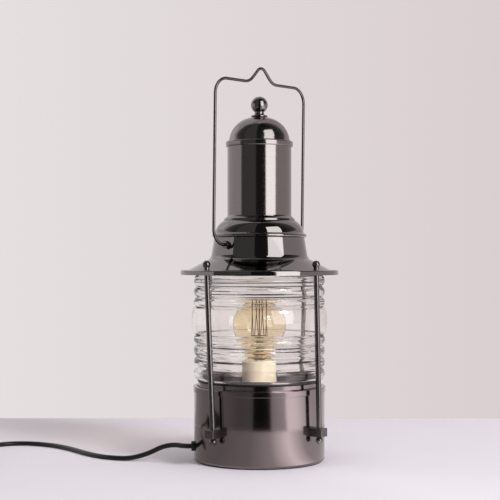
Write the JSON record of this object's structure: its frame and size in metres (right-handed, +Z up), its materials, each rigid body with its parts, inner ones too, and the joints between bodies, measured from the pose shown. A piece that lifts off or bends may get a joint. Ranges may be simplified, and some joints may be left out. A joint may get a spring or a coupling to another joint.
{
  "type": "lantern table lamp",
  "caption": "Ship's-lantern table lamp: dark nickel drum base, ribbed clear glass lens, spun lid with chimney and finial, wire bail, amber bulb, mains cord.",
  "frame": {"origin": "centre of the base on the surface it stands on", "axes": "+Z up along the lamp's axis, -Y towards the viewer's side, cord leaves towards -X"},
  "size_m": [0.521, 0.2693, 0.4519],
  "materials": {
    "gunmetal": "mirror black nickel",
    "brushed_gunmetal": "satin brushed black nickel",
    "clear_glass": "polished pressed glass",
    "amber_glass": "clear amber",
    "brass": "bright",
    "steel": "zinc plated",
    "cast_iron": "black paint",
    "rubber": "matte",
    "porcelain": "glazed cream",
    "filament": "carbon strand",
    "black_plastic": "satin moulded",
    "white_plastic": "moulded",
    "cord_black": "satin sheath"
  },
  "bodies": {
    "lamp": {"base_drum": "brushed_gunmetal", "ballast_plate": "cast_iron", "plate_screws": "steel", "foot_pad": "rubber", "deck_cap": "gunmetal", "gallery_ring": "gunmetal", "gallery_screws": "steel", "lens_gasket_lower": "rubber", "fresnel_lens": "clear_glass", "lens_gasket_upper": "rubber", "lens_seat_ring": "gunmetal", "bracket_screws": "steel", "rod_bottom_nuts": "gunmetal", "rod_top_nuts": "gunmetal", "lid_bell": "gunmetal", "lid_shoulder": "gunmetal", "chimney_tube": "gunmetal", "dome_cap": "gunmetal", "finial": "gunmetal", "lid_stud": "steel", "lid_bridge": "steel", "lid_stud_nut": "steel", "bail_ear_front": "gunmetal", "bail_ear_rear": "gunmetal", "holder_body": "porcelain", "holder_shell": "brass", "holder_contact": "brass", "holder_nipple": "brass", "nipple_nuts": "brass", "bulb_glass": "amber_glass", "bulb_cap": "brass", "bulb_insulator": "black_plastic", "bulb_tip": "brass", "bulb_stem": "clear_glass", "bulb_filament": "filament", "cord_gland": "black_plastic", "gland_nut": "black_plastic", "cord_tail": "cord_black", "cord_anchor": "black_plastic", "terminal_block": "white_plastic", "inner_leads": "cord_black", "cord_run_near": "cord_black", "cord_run_far": "cord_black", "cord_coil": "cord_black", "switch_base": "black_plastic", "switch_cover": "black_plastic", "plug_body": "black_plastic", "plug_pins": "steel", "rod_bracket_1": "gunmetal", "tie_rod_1": "gunmetal", "rod_bracket_2": "gunmetal", "tie_rod_2": "gunmetal", "rod_bracket_3": "gunmetal", "tie_rod_3": "gunmetal", "rod_bracket_4": "gunmetal", "tie_rod_4": "gunmetal"},
    "bail": {"bail_handle": "gunmetal", "bail_washers": "steel"},
    "switch_rocker_body": {"switch_rocker": "black_plastic"}
  },
  "joints": [
    {"name": "bail_swing", "type": "hinge", "parent": "lamp", "child": "bail", "pos_m": [0, 0, 0.247], "axis": [-0.7666, -0.6421, 0], "range_deg": [-114, 116]},
    {"name": "switch_rock", "type": "hinge", "parent": "lamp", "child": "switch_rocker_body", "pos_m": [-0.333, 0.035, 0.011], "axis": [1, 0, 0], "range_deg": [-16, 0]}
  ]
}
